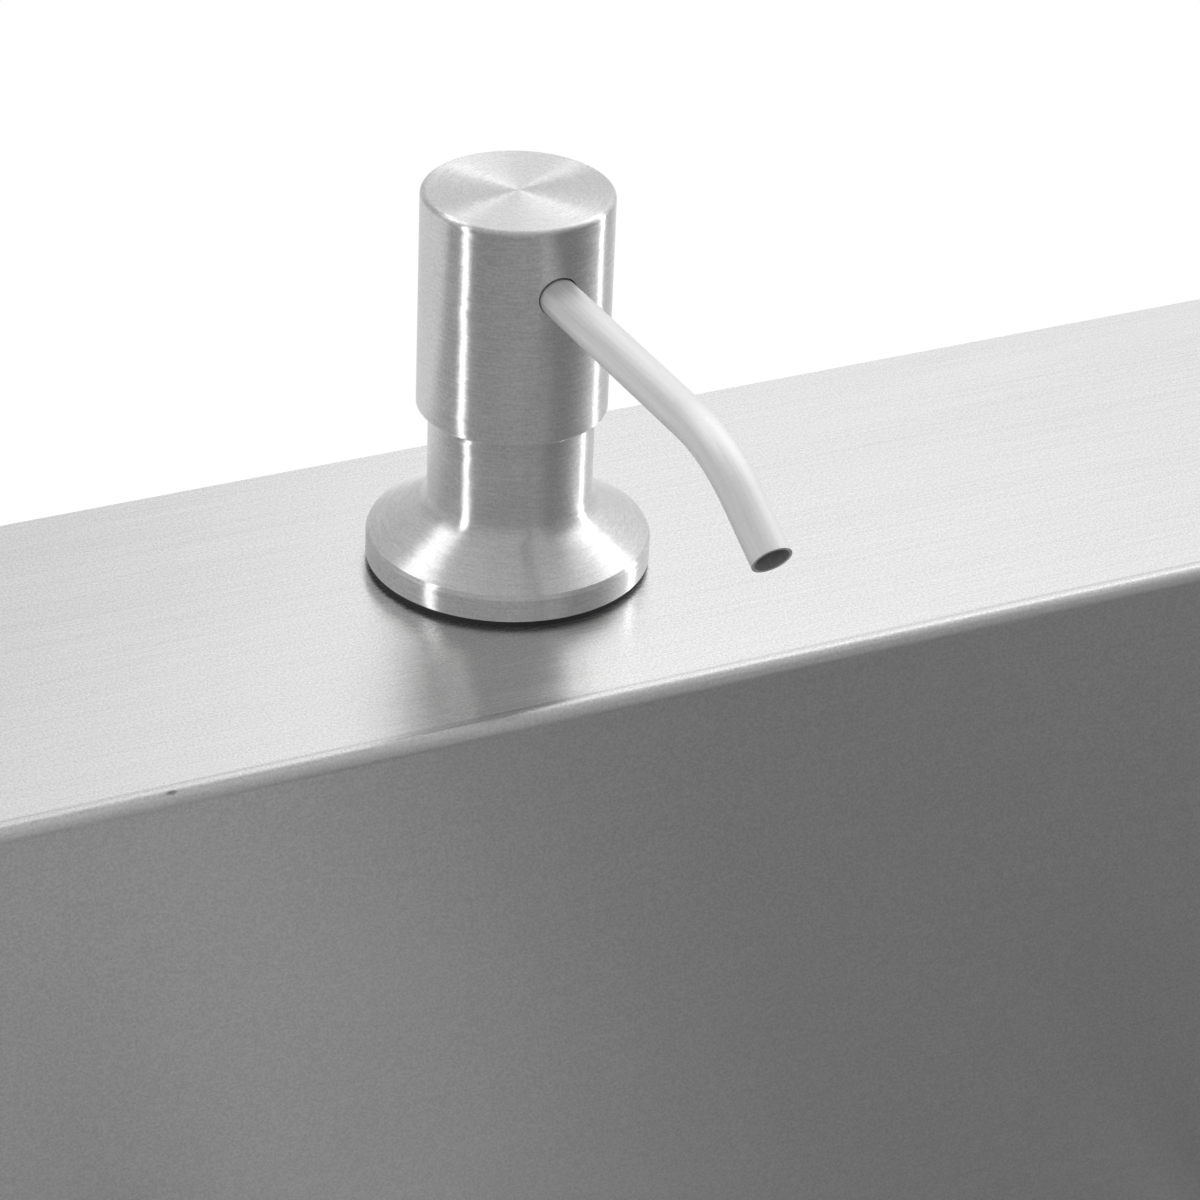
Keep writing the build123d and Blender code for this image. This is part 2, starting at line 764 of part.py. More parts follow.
# Soap bottle, screwed onto the lower end of the shank
bottle_neck_top = -sheet - bottle_neck_drop
bottle_neck_bottom = bottle_neck_top - bottle_neck_length
shoulder_bottom = bottle_neck_bottom - bottle_shoulder
bottle_bottom = -bottle_bottom_drop
with BuildPart() as soap_bottle:
    with BuildSketch(pump_plane) as profile:
        with BuildLine():
            Polyline(
                (0, bottle_bottom),
                (bottle_radius, bottle_bottom),
                (bottle_radius, shoulder_bottom),
                (bottle_neck_radius, bottle_neck_bottom),
                (bottle_neck_radius, bottle_neck_top),
                (collar_bore_radius, bottle_neck_top),
                (collar_bore_radius, bottle_neck_bottom - bottle_wall),
                (bottle_radius - bottle_wall, shoulder_bottom - bottle_wall / 2),
                (bottle_radius - bottle_wall, bottle_bottom + bottle_wall),
                (0, bottle_bottom + bottle_wall),
                close=True,
            )
        make_face()
        fillet(corners(profile, (bottle_radius, shoulder_bottom)), bottle_shoulder_round)
        chamfer(corners(profile, (bottle_radius, bottle_bottom)), bottle_wall / 2)
    revolve(axis=pump_axis)
soap_bottle.part.label = "soap_bottle"
export_step(soap_bottle.part, "parts/soap_bottle.step")

# Closure: sits on the neck, plugs it and guides the stem
with BuildPart() as pump_closure:
    with BuildSketch(pump_plane):
        with BuildLine():
            Polyline(
                (stem_radius + running_gap, closure_bottom),
                (closure_skirt_radius, closure_bottom),
                (closure_skirt_radius, shank_top + loose_gap),
                (closure_plug_radius, shank_top + loose_gap),
                (closure_plug_radius, neck_top),
                (closure_radius, neck_top),
                (closure_radius, closure_top),
                (stem_radius + running_gap, closure_top),
                close=True,
            )
        make_face()
    revolve(axis=pump_axis)
pump_closure.part.label = "pump_closure"
export_step(pump_closure.part, "parts/pump_closure.step")

# Cylinder: bore for the piston, pocket for the inlet valve's ball, socket for the dip tube
with BuildPart() as pump_cylinder:
    with BuildSketch(pump_plane):
        with BuildLine():
            Polyline(
                (cylinder_bore_radius, cylinder_top),
                (cylinder_bore_radius, cylinder_floor),
                (valve_pocket_radius, cylinder_floor),
                (valve_pocket_radius, pocket_floor),
                (valve_hole_radius, pocket_floor),
                (valve_hole_radius, dip_socket_top),
                (dip_tube_radius + socket_gap, dip_socket_top),
                (dip_tube_radius + socket_gap, dip_socket_bottom),
                (dip_socket_radius, dip_socket_bottom),
                (dip_socket_radius, cylinder_floor - 2 * valve_floor),
                (cylinder_radius, cylinder_floor - valve_floor),
                (cylinder_radius, cylinder_top - cylinder_flange_thickness),
                (cylinder_flange_radius, cylinder_top - cylinder_flange_thickness),
                (cylinder_flange_radius, cylinder_top),
                close=True,
            )
        make_face()
    revolve(axis=pump_axis)
pump_cylinder.part.label = "pump_cylinder"
export_step(pump_cylinder.part, "parts/pump_cylinder.step")

dip_tube_bottom = bottle_bottom + bottle_wall + dip_tube_lift
with BuildPart() as dip_tube:
    with BuildSketch(Plane.XY.offset(deck_top + dip_tube_bottom)):
        with Locations((dispenser_offset, hole_line_y)):
            Circle(dip_tube_radius)
            Circle(dip_tube_radius - dip_tube_wall, mode=Mode.SUBTRACT)
    extrude(amount=dip_socket_top - dip_tube_bottom)
dip_tube.part.label = "dip_tube"
export_step(dip_tube.part, "parts/dip_tube.step")

# Ball of the inlet valve, on the edge of the hole in its pocket
ball_rise = math.sqrt((valve_ball_radius + seat_gap) ** 2 - valve_hole_radius**2)
with BuildPart() as check_ball:
    with Locations((dispenser_offset, hole_line_y, deck_top + pocket_floor + ball_rise)):
        Sphere(valve_ball_radius)
check_ball.part.label = "check_ball"
export_step(check_ball.part, "parts/check_ball.step")

# Return spring between the cylinder's floor and the piston
spring_height = piston_bottom - cylinder_floor - 2 * wire_radius - 2 * seat_gap
spring_foot = (dispenser_offset, hole_line_y, deck_top + cylinder_floor + wire_radius + seat_gap)
with BuildPart() as return_spring:
    with BuildLine() as coil:
        Helix(spring_height / spring_turns, spring_height, spring_radius, center=spring_foot)
    with BuildSketch(Plane(origin=coil.line @ 0, z_dir=coil.line % 0)):
        RegularPolygon(wire_radius, 4)
    sweep(is_frenet=True)
return_spring.part.label = "return_spring"
export_step(return_spring.part, "parts/return_spring.step")

# Piston on the lower end of the hollow stem
stem_bottom = piston_bottom + piston_floor
with BuildPart() as piston:
    with BuildSketch(pump_plane):
        with BuildLine():
            Polyline(
                (piston_hole_radius, piston_bottom),
                (cylinder_bore_radius - running_gap, piston_bottom),
                (cylinder_bore_radius - running_gap, piston_top),
                (stem_radius + socket_gap, piston_top),
                (stem_radius + socket_gap, stem_bottom),
                (piston_hole_radius, stem_bottom),
                close=True,
            )
        make_face()
    revolve(axis=pump_axis)
piston.part.label = "piston"
export_step(piston.part, "parts/piston.step")

with BuildPart() as plunger_stem:
    with BuildSketch(Plane.XY.offset(deck_top + stem_bottom)):
        with Locations((dispenser_offset, hole_line_y)):
            Circle(stem_radius)
            Circle(stem_bore_radius, mode=Mode.SUBTRACT)
    extrude(amount=stem_top - stem_bottom)
plunger_stem.part.label = "plunger_stem"
export_step(plunger_stem.part, "parts/plunger_stem.step")

# Spout: its outlet line leaves the head level, forwards and a little to the right
turn = math.radians(spout_turn_angle)
spout_way = Vector(math.sin(turn), -math.cos(turn), 0)
spout_axis_point = Vector(dispenser_offset, hole_line_y, deck_top + spout_height)
spout_start = spout_axis_point + spout_way * spout_root
spout_plane = Plane(origin=spout_axis_point, x_dir=spout_way, z_dir=spout_way.cross(Vector(0, 0, 1)))
across_spout = Plane(origin=spout_axis_point, z_dir=spout_way)
cap_hole_plane = Plane(origin=spout_axis_point + Vector(0, 0, cap_hole_rise), z_dir=spout_way)

# Cap: a turned cup with a side hole for the spout
with BuildPart() as pump_cap:
    with BuildSketch(pump_plane) as profile:
        with BuildLine():
            Polyline(
                (cap_bore_radius, cap_bottom_height),
                (cap_radius, cap_bottom_height),
                (cap_radius, cap_top),
                (0, cap_top),
                (0, insert_top),
                (cap_bore_radius, insert_top),
                close=True,
            )
        make_face()
        fillet(corners(profile, (cap_radius, cap_top)), cap_edge_round)
        chamfer(corners(profile, (cap_radius, cap_bottom_height)), cap_skirt_chamfer)
    revolve(axis=pump_axis)
    with BuildSketch(cap_hole_plane):
        Circle(spout_radius + cap_hole_gap)
    extrude(amount=2 * cap_radius, mode=Mode.SUBTRACT)
pump_cap.part.label = "pump_cap"
export_step(pump_cap.part, "parts/pump_cap.step")

# Insert: fills the head, takes the stem from below and the spout from the side
with BuildPart() as pump_head_insert:
    with BuildSketch(pump_plane):
        with BuildLine():
            Polyline(
                (stem_radius + running_gap, insert_bottom),
                (cap_bore_radius - socket_gap, insert_bottom),
                (cap_bore_radius - socket_gap, insert_top),
                (0, insert_top),
                (0, spout_height),
                (stem_bore_radius, spout_height),
                (stem_bore_radius, stem_top),
                (stem_radius + running_gap, stem_top),
                close=True,
            )
        make_face()
    revolve(axis=pump_axis)
    with BuildSketch(across_spout):
        Circle(spout_bore_radius)
    extrude(amount=spout_root, mode=Mode.SUBTRACT)
    with BuildSketch(across_spout.offset(spout_root)):
        Circle(spout_radius + socket_gap)
    extrude(amount=cap_radius, mode=Mode.SUBTRACT)
pump_head_insert.part.label = "pump_head_insert"
export_step(pump_head_insert.part, "parts/pump_head_insert.step")

# Spout tube: straight out of the cap, one bend down, and a short straight end
with BuildPart() as spout_tube:
    with BuildLine(spout_plane):
        run = Line((spout_root, 0), (spout_straight, 0))
        bend = JernArc(start=run @ 1, tangent=run % 1, radius=spout_bend_radius, arc_size=-spout_droop_angle)
        Line(bend @ 1, bend @ 1 + (bend % 1) * spout_end_run)
    with BuildSketch(across_spout.offset(spout_root)):
        Circle(spout_radius)
        Circle(spout_bore_radius, mode=Mode.SUBTRACT)
    sweep()
spout_tube.part.label = "spout_tube"
export_step(spout_tube.part, "parts/spout_tube.step")
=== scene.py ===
import math

import bmesh
import bpy
from mathutils import Matrix, Vector


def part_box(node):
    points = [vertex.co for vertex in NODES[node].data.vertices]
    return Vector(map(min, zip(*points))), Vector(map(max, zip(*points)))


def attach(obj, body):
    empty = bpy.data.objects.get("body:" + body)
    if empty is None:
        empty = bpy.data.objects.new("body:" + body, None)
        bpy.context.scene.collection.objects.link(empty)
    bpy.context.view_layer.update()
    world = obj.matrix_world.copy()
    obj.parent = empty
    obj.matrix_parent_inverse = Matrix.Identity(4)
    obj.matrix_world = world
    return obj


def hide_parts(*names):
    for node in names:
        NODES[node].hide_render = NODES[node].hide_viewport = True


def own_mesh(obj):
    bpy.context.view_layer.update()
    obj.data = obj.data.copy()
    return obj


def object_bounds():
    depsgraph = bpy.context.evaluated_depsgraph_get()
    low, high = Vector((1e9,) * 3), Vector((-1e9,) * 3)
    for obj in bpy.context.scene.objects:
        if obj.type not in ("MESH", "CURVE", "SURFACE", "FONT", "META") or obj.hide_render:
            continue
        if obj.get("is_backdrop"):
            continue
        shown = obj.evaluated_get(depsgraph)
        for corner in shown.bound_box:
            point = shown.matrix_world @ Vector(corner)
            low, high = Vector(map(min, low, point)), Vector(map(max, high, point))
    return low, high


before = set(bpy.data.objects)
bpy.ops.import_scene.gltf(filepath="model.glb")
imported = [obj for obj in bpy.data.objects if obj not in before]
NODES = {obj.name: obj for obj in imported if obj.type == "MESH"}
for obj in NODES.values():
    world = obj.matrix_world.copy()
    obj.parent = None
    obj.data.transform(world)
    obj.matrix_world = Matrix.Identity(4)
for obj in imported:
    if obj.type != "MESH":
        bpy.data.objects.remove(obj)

# Looks of the bar sink. Lengths are in metres, in the same frame as the solids.
MM = 0.001
CAD_LOW, CAD_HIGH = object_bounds()

# Places read from the solids
flange_low, flange_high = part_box("collar_flange")
PUMP_X, PUMP_Y = (flange_low.x + flange_high.x) / 2, (flange_low.y + flange_high.y) / 2
DECK_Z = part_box("base_gasket")[0].z


# Node graphs

class Graph:
    """A node tree with short ways to add what the materials use."""

    def __init__(self, tree):
        self.tree = tree
        self.tree.nodes.clear()

    def add(self, kind, **settings):
        node = self.tree.nodes.new(kind)
        for name, value in settings.items():
            setattr(node, name, value)
        return node

    def plug(self, socket, value):
        if isinstance(value, bpy.types.NodeSocket):
            self.tree.links.new(value, socket)
        else:
            socket.default_value = value

    def maths(self, operation, *values):
        node = self.add("ShaderNodeMath", operation=operation)
        for socket, value in zip(node.inputs, values):
            self.plug(socket, value)
        return node.outputs[0]

    def vector(self, operation, *values):
        node = self.add("ShaderNodeVectorMath", operation=operation)
        for socket, value in zip(node.inputs, values):
            self.plug(socket, value)
        scalar = operation in ("DOT_PRODUCT", "LENGTH")
        return node.outputs["Value" if scalar else "Vector"]

    def scaled(self, vector, factor):
        node = self.add("ShaderNodeVectorMath", operation="SCALE")
        self.plug(node.inputs[0], vector)
        self.plug(node.inputs["Scale"], factor)
        return node.outputs[0]

    def split(self, vector):
        node = self.add("ShaderNodeSeparateXYZ")
        self.plug(node.inputs[0], vector)
        return tuple(node.outputs)

    def join(self, x, y, z):
        node = self.add("ShaderNodeCombineXYZ")
        for socket, value in zip(node.inputs, (x, y, z)):
            self.plug(socket, value)
        return node.outputs[0]

    def span(self, value, low, high, to_low=0.0, to_high=1.0, smooth=False):
        """A value's range from low to high, laid on another range and held at its ends."""
        node = self.add("ShaderNodeMapRange")
        node.interpolation_type = "SMOOTHSTEP" if smooth else "LINEAR"
        names = ("Value", "From Min", "From Max", "To Min", "To Max")
        for name, given in zip(names, (value, low, high, to_low, to_high)):
            self.plug(node.inputs[name], given)
        return node.outputs[0]

    def spread(self, noise, to_low, to_high):
        """A noise, whose values keep near its middle, spread over a range."""
        return self.span(noise, 0.3, 0.7, to_low, to_high)

    def blend(self, share, first, second):
        """Vectors mixed by a share."""
        node = self.add("ShaderNodeMix", data_type="VECTOR")
        self.plug(node.inputs[0], share)
        self.plug(node.inputs[4], first)
        self.plug(node.inputs[5], second)
        return node.outputs[1]

    def tint(self, share, first, second):
        """Colours mixed by a share."""
        node = self.add("ShaderNodeMix", data_type="RGBA")
        self.plug(node.inputs[0], share)
        self.plug(node.inputs[6], first)
        self.plug(node.inputs[7], second)
        return node.outputs[2]

    def noise(self, vector, scale=1.0, detail=2.0, roughness=0.5):
        node = self.add("ShaderNodeTexNoise")
        self.plug(node.inputs["Vector"], vector)
        node.inputs["Scale"].default_value = scale
        node.inputs["Detail"].default_value = detail
        node.inputs["Roughness"].default_value = roughness
        return node.outputs[0]

    def cells(self, vector, scale):
        node = self.add("ShaderNodeTexVoronoi")
        self.plug(node.inputs["Vector"], vector)
        node.inputs["Scale"].default_value = scale
        return node.outputs["Distance"], node.outputs["Color"]

    def bump(self, height, strength, depth, normal=None):
        node = self.add("ShaderNodeBump")
        node.inputs["Strength"].default_value = strength
        node.inputs["Distance"].default_value = depth
        self.plug(node.inputs["Height"], height)
        if normal is not None:
            self.plug(node.inputs["Normal"], normal)
        return node.outputs[0]

    def place(self):
        return self.add("ShaderNodeTexCoord").outputs["Object"]

    def facing(self):
        return self.add("ShaderNodeTexCoord").outputs["Normal"]

    def to_world(self, vector):
        node = self.add(
            "ShaderNodeVectorTransform", vector_type="VECTOR", convert_from="OBJECT", convert_to="WORLD"
        )
        self.plug(node.inputs[0], vector)
        return node.outputs[0]

    def grey(self, value):
        node = self.add("ShaderNodeCombineColor")
        for socket in node.inputs:
            self.plug(socket, value)
        return node.outputs[0]

    def rays(self):
        """Whether the camera sees this directly, and whether metal or glass shows it."""
        path = self.add("ShaderNodeLightPath").outputs
        return path["Is Camera Ray"], self.maths("MAXIMUM", path["Is Glossy Ray"], path["Is Transmission Ray"])


# Materials

def surface(name, build):
    """A material whose graph is made by build, which returns the shader's inputs by name."""
    material = bpy.data.materials.new(name)
    material.use_nodes = True
    graph = Graph(material.node_tree)
    inputs = build(graph)
    shader = graph.add("ShaderNodeBsdfPrincipled")
    for socket, value in inputs.items():
        graph.plug(shader.inputs[socket], value)
    output = graph.add("ShaderNodeOutputMaterial")
    graph.plug(output.inputs["Surface"], shader.outputs[0])
    return material


def brushed_metal(
    graph, brush, strokes, patches, level, contrast, roughness, anisotropy, fray=0.0, grain=0.08
):
    """Inputs of a brushed metal.

    brush is the strokes' direction, strokes a field stretched along it, and patches a broad unevenness.
    contrast is how far the strokes differ in tone, fray how far they lean, and grain the speckle's strength.
    """
    fine = graph.noise(strokes, 1.0, 3.0, 0.65)
    broad = graph.noise(strokes, 0.31, 2.0, 0.5)
    mixed = graph.maths("ADD", graph.maths("MULTIPLY", fine, 0.8), graph.maths("MULTIPLY", broad, 0.2))
    tone = graph.maths("ADD", graph.spread(mixed, -contrast, contrast), level)
    speckle = graph.noise(graph.place(), 2400.0, 1.0, 0.5)
    tone = graph.maths("ADD", tone, graph.spread(speckle, -grain, grain))

    # The wide side of the gloss lies across the strokes
    normal = graph.add("ShaderNodeNewGeometry").outputs["Normal"]
    along = graph.to_world(brush)
    across = graph.vector("NORMALIZE", graph.vector("CROSS_PRODUCT", normal, along))
    rough = graph.maths("ADD", graph.spread(mixed, -0.04, 0.04), roughness)
    rough = graph.maths("ADD", rough, graph.spread(patches, -0.02, 0.03))
    leaning = graph.noise(graph.vector("ADD", strokes, (31.0, 17.0, 5.0)), 0.25, 3.0, 0.6)
    lean = graph.spread(leaning, -fray, fray)
    leant = graph.vector("NORMALIZE", graph.vector("ADD", normal, graph.scaled(along, lean)))
    return {
        "Base Color": graph.grey(tone),
        "Metallic": 1.0,
        "Roughness": rough,
        "Anisotropic": anisotropy,
        "Tangent": across,
        "Normal": graph.bump(mixed, 0.25, 0.00003, leant),
    }


# The sheet: tones of its walls and level faces, with painted shade that sets them apart, and how much darker
# the painted shade on the bend, the painted shade line beside the fold and the nick are
WALL_TONE_AND_PAINTED_SHADE = 0.77
LEVEL_TONE_AND_PAINTED_SHADE = 0.71
BOWL_ROUGHNESS = 0.32
DECK_ROUGHNESS = 0.27
BEND_PAINTED_SHADE = 0.16
LINE_PAINTED_SHADE = 0.12
NICK_DULLING = 0.30
# A thin line of painted shade along the fold, and a small nick in the deck's front edge
FOLD_Y = PUMP_Y - 49.0 * MM
SHADE_LINE_Y = FOLD_Y + 0.6 * MM
SHADE_LINE_CORE, SHADE_LINE_EDGE = 0.2 * MM, 0.6 * MM
NICK = (-19.1 * MM, 169.6 * MM, 368.9 * MM)
NICK_CORE, NICK_EDGE = 0.25 * MM, 0.6 * MM
NICK_STRETCH = (0.45, 1.0, 1.0)
# Fields stretched along X and along Y
LONG_STROKES = (25.0, 2800.0, 2800.0)
CROSS_STROKES = (2800.0, 25.0, 2800.0)


def sheet_steel(graph):
    """Straight strokes: along X on the deck, floor and long walls, level on the side walls."""
    place = graph.place()
    facing = graph.facing()
    nx, _, nz = graph.split(facing)
    level_line = graph.vector("CROSS_PRODUCT", (0.0, 0.0, 1.0), facing)
    side = graph.maths("LESS_THAN", graph.split(level_line)[0], 0.0)
    level_line = graph.scaled(level_line, graph.maths("SUBTRACT", 1.0, graph.maths("MULTIPLY", side, 2.0)))
    flat = graph.span(graph.maths("ABSOLUTE", nz), 0.8, 0.95)
    brush = graph.blend(flat, level_line, (1.0, 0.0, 0.0))
    turned = graph.maths("GREATER_THAN", graph.maths("ABSOLUTE", nx), 0.707)
    along_x = graph.vector("MULTIPLY", place, LONG_STROKES)
    along_y = graph.vector("MULTIPLY", place, CROSS_STROKES)
    strokes = graph.blend(turned, along_x, along_y)
    # The steel's own tone, with painted shade that differs between walls and level faces
    level = graph.span(flat, 0.0, 1.0, WALL_TONE_AND_PAINTED_SHADE, LEVEL_TONE_AND_PAINTED_SHADE)

    # Painted shade on the bend: it starts where the face leaves the level, and fades towards the wall
    leaving = graph.span(nz, 0.9995, 0.997, smooth=True)
    fading = graph.span(nz, 0.7, 0.9, smooth=True)
    bend = graph.maths("MULTIPLY", leaving, fading)
    level = graph.maths("SUBTRACT", level, graph.maths("MULTIPLY", bend, BEND_PAINTED_SHADE))
    # A thin line of painted shade on the level deck, just behind the fold
    off_line = graph.maths("ABSOLUTE", graph.maths("SUBTRACT", graph.split(place)[1], SHADE_LINE_Y))
    line = graph.span(off_line, SHADE_LINE_CORE, SHADE_LINE_EDGE, 1.0, 0.0, smooth=True)
    painted_line = graph.maths("MULTIPLY", line, flat)
    level = graph.maths("SUBTRACT", level, graph.maths("MULTIPLY", painted_line, LINE_PAINTED_SHADE))
    from_nick = graph.vector("MULTIPLY", graph.vector("SUBTRACT", place, NICK), NICK_STRETCH)
    off_nick = graph.vector("LENGTH", from_nick)
    nick = graph.span(off_nick, NICK_CORE, NICK_EDGE, NICK_DULLING, 0.0, smooth=True)
    level = graph.maths("SUBTRACT", level, nick)

    return brushed_metal(
        graph, brush, strokes, graph.noise(place, 9.0, 3.0, 0.6), level,
        contrast=0.025, roughness=graph.span(flat, 0.0, 1.0, BOWL_ROUGHNESS, DECK_ROUGHNESS),
        anisotropy=0.8, fray=0.01,
    )


def turned_steel(centre_x, centre_y):
    """Strokes that run round an upright axis."""
    def build(graph):
        place = graph.place()
        from_axis = graph.vector("SUBTRACT", place, (centre_x, centre_y, 0.0))
        out = graph.vector("MULTIPLY", from_axis, (1.0, 1.0, 0.0))
        reach = graph.vector("LENGTH", out)
        way = graph.vector("NORMALIZE", out)
        brush = graph.vector("CROSS_PRODUCT", (0.0, 0.0, 1.0), way)
        wx, wy, _ = graph.split(way)
        height = graph.split(place)[2]
        along = graph.maths("MULTIPLY", graph.maths("SUBTRACT", reach, height), 5000.0)
        strokes = graph.join(graph.maths("MULTIPLY", wx, 6.0), graph.maths("MULTIPLY", wy, 6.0), along)
        return brushed_metal(
            graph, brush, strokes, graph.noise(place, 30.0, 3.0, 0.6), level=0.80,
            contrast=0.12, roughness=0.33, anisotropy=1.0, fray=0.02,
        )
    return build


# The spout's line, as in the solids
SPOUT_HEIGHT = 59.1 * MM
SPOUT_STRAIGHT = 64.5 * MM
SPOUT_BEND_RADIUS = 36.0 * MM
SPOUT_DROOP = math.radians(30.0)
SPOUT_TURN = math.radians(1.35)
SPOUT_STROKES = (3000.0, 3000.0, 60.0)


def spout_steel(graph):
    """Strokes that run along the spout: straight, round its bend, and straight to its end."""
    place = graph.place()
    way = Vector((math.sin(SPOUT_TURN), -math.cos(SPOUT_TURN), 0.0))
    upright = Vector((0.0, 0.0, 1.0))
    side = way.cross(upright)
    pivot = Vector((PUMP_X, PUMP_Y, DECK_Z + SPOUT_HEIGHT - SPOUT_BEND_RADIUS)) + way * SPOUT_STRAIGHT
    arm = graph.vector("SUBTRACT", place, tuple(pivot))
    forwards = graph.vector("DOT_PRODUCT", arm, tuple(way))
    upwards = graph.vector("DOT_PRODUCT", arm, tuple(upright))
    sideways = graph.vector("DOT_PRODUCT", arm, tuple(side))
    angle = graph.maths("ARCTAN2", graph.maths("MAXIMUM", forwards, 0.0), upwards)
    angle = graph.maths("MINIMUM", angle, SPOUT_DROOP)
    cosine, sine = graph.maths("COSINE", angle), graph.maths("SINE", angle)
    brush = graph.vector("SUBTRACT", graph.scaled(tuple(way), cosine), graph.scaled(tuple(upright), sine))
    outward = graph.vector("ADD", graph.scaled(tuple(way), sine), graph.scaled(tuple(upright), cosine))
    rise = graph.vector("DOT_PRODUCT", arm, outward)
    arc = graph.maths("MULTIPLY", angle, SPOUT_BEND_RADIUS)
    run = graph.maths("ADD", graph.vector("DOT_PRODUCT", arm, brush), arc)
    strokes = graph.vector("MULTIPLY", graph.join(sideways, rise, run), SPOUT_STROKES)
    return brushed_metal(
        graph, brush, strokes, graph.noise(place, 60.0, 3.0, 0.6), level=0.89,
        contrast=0.06, roughness=0.56, anisotropy=0.4, grain=0.02,
    )


def pressed_steel(graph):
    place = graph.place()
    fine = graph.noise(place, 900.0, 3.0, 0.6)
    broad = graph.noise(place, 45.0, 3.0, 0.6)
    return {
        "Base Color": graph.grey(graph.spread(broad, 0.66, 0.76)),
        "Metallic": 1.0,
        "Roughness": graph.span(graph.maths("ADD", fine, broad), 0.7, 1.3, 0.26, 0.38),
        "Normal": graph.bump(fine, 0.2, 0.00003),
    }


def chrome(graph):
    place = graph.place()
    broad = graph.noise(place, 60.0, 4.0, 0.6)
    fine = graph.noise(place, 700.0, 2.0, 0.5)
    return {
        "Base Color": graph.grey(graph.spread(broad, 0.82, 0.88)),
        "Metallic": 1.0,
        "Roughness": graph.span(broad, 0.35, 0.75, 0.06, 0.16),
        "Normal": graph.bump(fine, 0.06, 0.00002),
    }


def zinc(graph):
    place = graph.place()
    _, patch = graph.cells(place, 420.0)
    shade = graph.split(patch)[0]
    broad = graph.noise(place, 120.0, 3.0, 0.6)
    tone = graph.maths("ADD", graph.span(shade, 0.0, 1.0, 0.56, 0.66), graph.spread(broad, -0.04, 0.06))
    return {
        "Base Color": graph.tint(0.12, graph.grey(tone), (0.55, 0.66, 0.80, 1.0)),
        "Metallic": 1.0,
        "Roughness": graph.spread(broad, 0.34, 0.50),
        "Normal": graph.bump(graph.noise(place, 1500.0, 2.0, 0.5), 0.2, 0.00003),
    }


def nickel(graph):
    place = graph.place()
    broad = graph.noise(place, 70.0, 4.0, 0.6)
    fine = graph.noise(place, 1100.0, 3.0, 0.6)
    share = graph.span(broad, 0.35, 0.7)
    return {
        "Base Color": graph.tint(share, (0.80, 0.78, 0.73, 1.0), (0.70, 0.67, 0.60, 1.0)),
        "Metallic": 1.0,
        "Roughness": graph.spread(broad, 0.28, 0.42),
        "Normal": graph.bump(fine, 0.25, 0.00004),
    }


def spring_wire(graph):
    fine = graph.noise(graph.place(), 1600.0, 2.0, 0.5)
    return {
        "Base Color": graph.grey(graph.spread(fine, 0.52, 0.66)),
        "Metallic": 1.0,
        "Roughness": graph.spread(fine, 0.26, 0.36),
        "Normal": graph.bump(fine, 0.15, 0.00002),
    }


def dull(dark, light, rough, fine_scale, depth):
    """A rubber or moulded plastic: two tones, a fine grain and a broad unevenness."""
    def build(graph):
        place = graph.place()
        broad = graph.noise(place, 40.0, 4.0, 0.6)
        fine = graph.noise(place, fine_scale, 3.0, 0.6)
        mixed = graph.maths("ADD", graph.maths("MULTIPLY", broad, 0.7), graph.maths("MULTIPLY", fine, 0.3))
        return {
            "Base Color": graph.tint(graph.spread(mixed, 0.0, 1.0), (*dark, 1.0), (*light, 1.0)),
            "Roughness": graph.spread(broad, rough - 0.06, rough + 0.06),
            "Normal": graph.bump(fine, 0.4, depth),
        }
    return build


def foam(graph):
    place = graph.place()
    gap, _ = graph.cells(place, 1400.0)
    broad = graph.noise(place, 50.0, 3.0, 0.6)
    tone = graph.span(gap, 0.1, 0.7, 0.16, 0.34)
    return {
        "Base Color": graph.grey(graph.maths("ADD", tone, graph.spread(broad, -0.03, 0.03))),
        "Roughness": 0.9,
        "Normal": graph.bump(gap, 0.6, 0.0003),
    }


def fibre(graph):
    place = graph.place()
    fine = graph.noise(graph.vector("MULTIPLY", place, (900.0, 2400.0, 1200.0)), 1.0, 3.0, 0.7)
    broad = graph.noise(place, 60.0, 3.0, 0.6)
    share = graph.maths("MULTIPLY", fine, broad)
    return {
        "Base Color": graph.tint(share, (0.66, 0.52, 0.36, 1.0), (0.40, 0.28, 0.17, 1.0)),
        "Roughness": 0.85,
        "Normal": graph.bump(fine, 0.5, 0.0001),
    }


def bottle_plastic(graph):
    place = graph.place()
    broad = graph.noise(place, 35.0, 3.0, 0.6)
    fine = graph.noise(place, 500.0, 2.0, 0.5)
    share = graph.spread(broad, 0.0, 1.0)
    return {
        "Base Color": graph.tint(share, (0.90, 0.92, 0.92, 1.0), (0.82, 0.86, 0.87, 1.0)),
        "Roughness": graph.spread(broad, 0.24, 0.36),
        "Transmission Weight": 0.5,
        "IOR": 1.5,
        "Normal": graph.bump(fine, 0.15, 0.0001),
    }


def dull_surface(name, dark, light, rough, fine_scale, depth):
    return surface(name, dull(dark, light, rough, fine_scale, depth))


